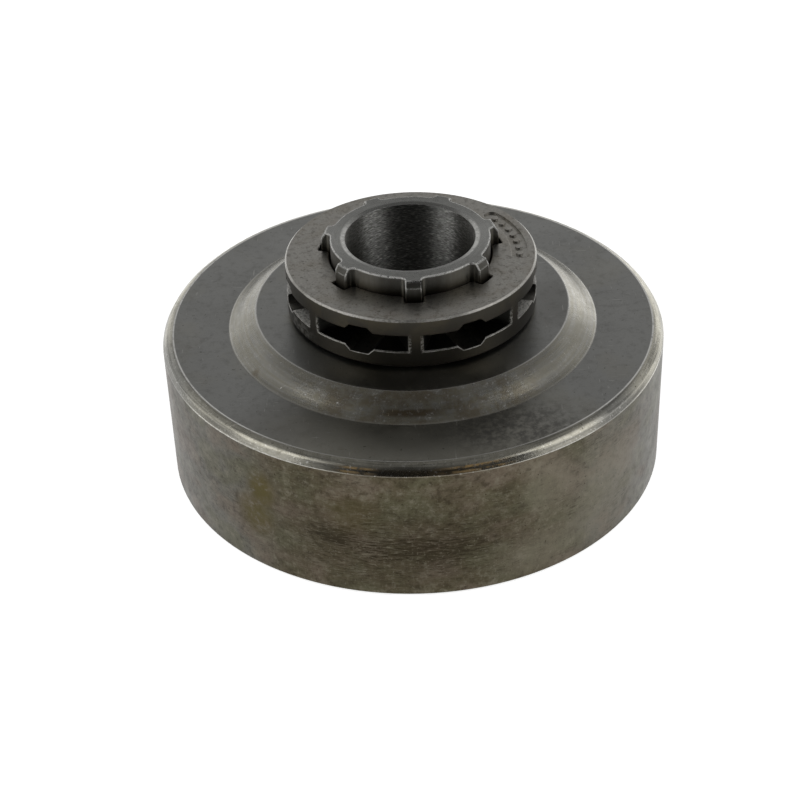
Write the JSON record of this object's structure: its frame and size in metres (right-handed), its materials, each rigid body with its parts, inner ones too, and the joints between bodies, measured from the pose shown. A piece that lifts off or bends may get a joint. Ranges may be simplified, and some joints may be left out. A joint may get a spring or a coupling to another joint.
{
  "type": "chainsaw clutch drum with rim sprocket",
  "caption": "Chainsaw clutch drum: open steel cup with a raised web, a splined hub standing through it and a floating rim sprocket that slides on the splines and drives the chain.",
  "frame": {"origin": "on the crankshaft axis, in the plane of the drum's open edge", "axes": "+Z along the crankshaft axis, from the drum's open edge towards the hub's end; a tooth and a spline face -Y"},
  "size_m": [0.071, 0.071, 0.0346],
  "materials": {
    "drum_steel": "drawn and turned steel, dark satin with brown heat and oil stains",
    "hub_steel": "turned and broached steel, satin with bright burred edges",
    "rim_steel": "sintered steel, warm grey and fine-grained with bright worn edges"
  },
  "bodies": {
    "drum": {"clutch_drum": "drum_steel", "splined_hub": "hub_steel"},
    "rim": {"rim_sprocket": "rim_steel"}
  },
  "joints": [
    {"name": "rim_slide", "type": "slide", "parent": "drum", "child": "rim", "axis": [0, 0, 1], "range_m": [0, 0.0101]}
  ]
}
